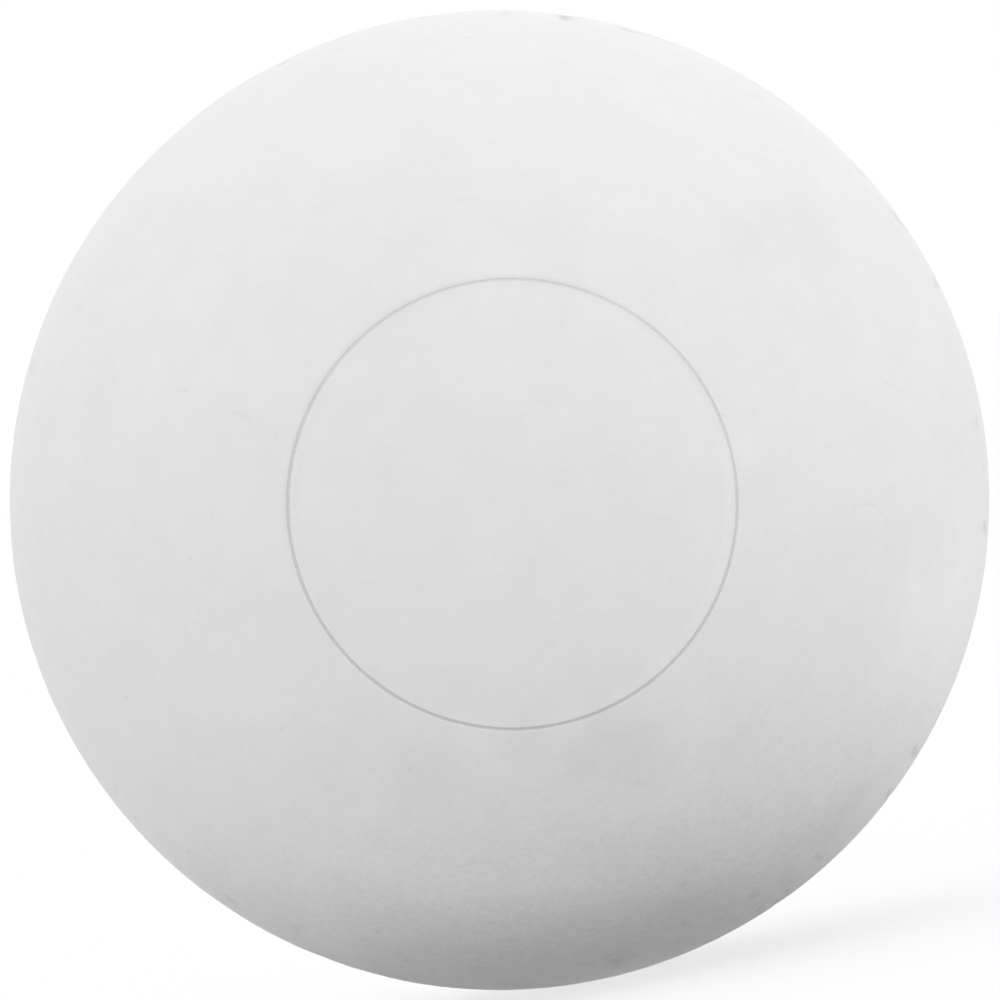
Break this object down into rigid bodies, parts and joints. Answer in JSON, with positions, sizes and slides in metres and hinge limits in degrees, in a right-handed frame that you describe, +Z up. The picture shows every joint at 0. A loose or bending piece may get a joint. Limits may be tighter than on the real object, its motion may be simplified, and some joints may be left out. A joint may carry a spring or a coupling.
{
  "type": "lacrosse ball",
  "caption": "Solid white rubber lacrosse ball with a matte moulded skin, a fine ring groove round a slightly dished face and a trimmed parting line round the middle.",
  "frame": {"origin": "centre of the ball", "axes": "+Z up, -Y out through the centre of the ring groove; the parting line lies in the XZ plane"},
  "size_m": [0.0636, 0.0635, 0.0636],
  "materials": {
    "white_rubber": "matte, slightly chalky moulded skin with faint cloudy mottling, small dark specks and light scuffs"
  },
  "bodies": {
    "root": {"rubber_ball": "white_rubber"}
  },
  "joints": []
}
